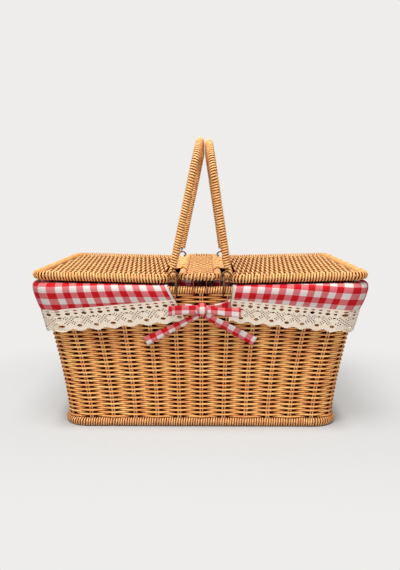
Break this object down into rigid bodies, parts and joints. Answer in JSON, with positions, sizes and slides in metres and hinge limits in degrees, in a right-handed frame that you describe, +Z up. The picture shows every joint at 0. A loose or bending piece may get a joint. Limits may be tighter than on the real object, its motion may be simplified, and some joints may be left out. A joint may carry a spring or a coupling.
{
  "type": "picnic basket",
  "caption": "Flared wicker picnic basket with hinged lids on a middle strip, folding hoop handles, and a checked cloth lining with a lace hem tied in bows.",
  "frame": {"origin": "on the ground under the middle of the base", "axes": "+Z up, X along the basket's length, the front with the pictured bow faces -Y"},
  "size_m": [0.394, 0.2932, 0.346],
  "materials": {
    "cane_weave": "woven honey-coloured cane with a satin lacquer",
    "cane_wrap": "fine honey-coloured cane wound over rods, satin lacquer",
    "core_rod": "plain rattan rod, hidden under the wrapping",
    "gingham_cloth": "red and white checked cotton",
    "lace_cotton": "cream cotton lace",
    "bronze_wire": "bronze-brown lacquered steel wire",
    "tie_wire": "thin bare tie wire"
  },
  "bodies": {
    "basket": {"base_border": "cane_wrap", "base_core": "core_rod", "base_panel": "cane_weave", "wall_weave": "cane_weave", "rim_border": "cane_wrap", "rim_core": "core_rod", "strip_border": "cane_wrap", "strip_core": "core_rod", "strip_panel": "cane_weave", "strip_tie_front_left": "tie_wire", "strip_tie_front_right": "tie_wire", "strip_tie_back_left": "tie_wire", "strip_tie_back_right": "tie_wire", "hinge_band_left": "cane_wrap", "hinge_band_right": "cane_wrap", "handle_ring_front_left": "bronze_wire", "handle_ring_front_right": "bronze_wire", "handle_ring_back_left": "bronze_wire", "handle_ring_back_right": "bronze_wire", "lining_bag": "gingham_cloth", "skirt_left": "gingham_cloth", "skirt_right": "gingham_cloth", "lace_left": "lace_cotton", "lace_right": "lace_cotton", "front_bow_knot": "gingham_cloth", "front_bow_left_loop": "gingham_cloth", "front_bow_right_loop": "gingham_cloth", "front_bow_left_strap": "gingham_cloth", "front_bow_right_strap": "gingham_cloth", "front_bow_left_tail": "gingham_cloth", "front_bow_right_tail": "gingham_cloth", "back_bow_knot": "gingham_cloth", "back_bow_left_loop": "gingham_cloth", "back_bow_right_loop": "gingham_cloth", "back_bow_left_strap": "gingham_cloth", "back_bow_right_strap": "gingham_cloth", "back_bow_left_tail": "gingham_cloth", "back_bow_right_tail": "gingham_cloth"},
    "lid_left": {"lid_left_border": "cane_wrap", "lid_left_core": "core_rod", "lid_left_panel": "cane_weave"},
    "lid_right": {"lid_right_border": "cane_wrap", "lid_right_core": "core_rod", "lid_right_panel": "cane_weave"},
    "handle_left": {"handle_left_wrap": "cane_wrap", "handle_left_core": "bronze_wire"},
    "handle_right": {"handle_right_wrap": "cane_wrap", "handle_right_core": "bronze_wire"}
  },
  "joints": [
    {"name": "lid_left_hinge", "type": "hinge", "parent": "basket", "child": "lid_left", "pos_m": [-0.034, 0, 0.1839], "axis": [0, 1, 0], "range_deg": [0, 93]},
    {"name": "lid_right_hinge", "type": "hinge", "parent": "basket", "child": "lid_right", "pos_m": [0.034, 0, 0.1839], "axis": [0, -1, 0], "range_deg": [0, 93]},
    {"name": "handle_left_swing", "type": "hinge", "parent": "basket", "child": "handle_left", "pos_m": [-0.02675, 0, 0.188], "axis": [0, -1, 0], "range_deg": [0, 95]},
    {"name": "handle_right_swing", "type": "hinge", "parent": "basket", "child": "handle_right", "pos_m": [0.02675, 0, 0.188], "axis": [0, 1, 0], "range_deg": [0, 91]}
  ]
}
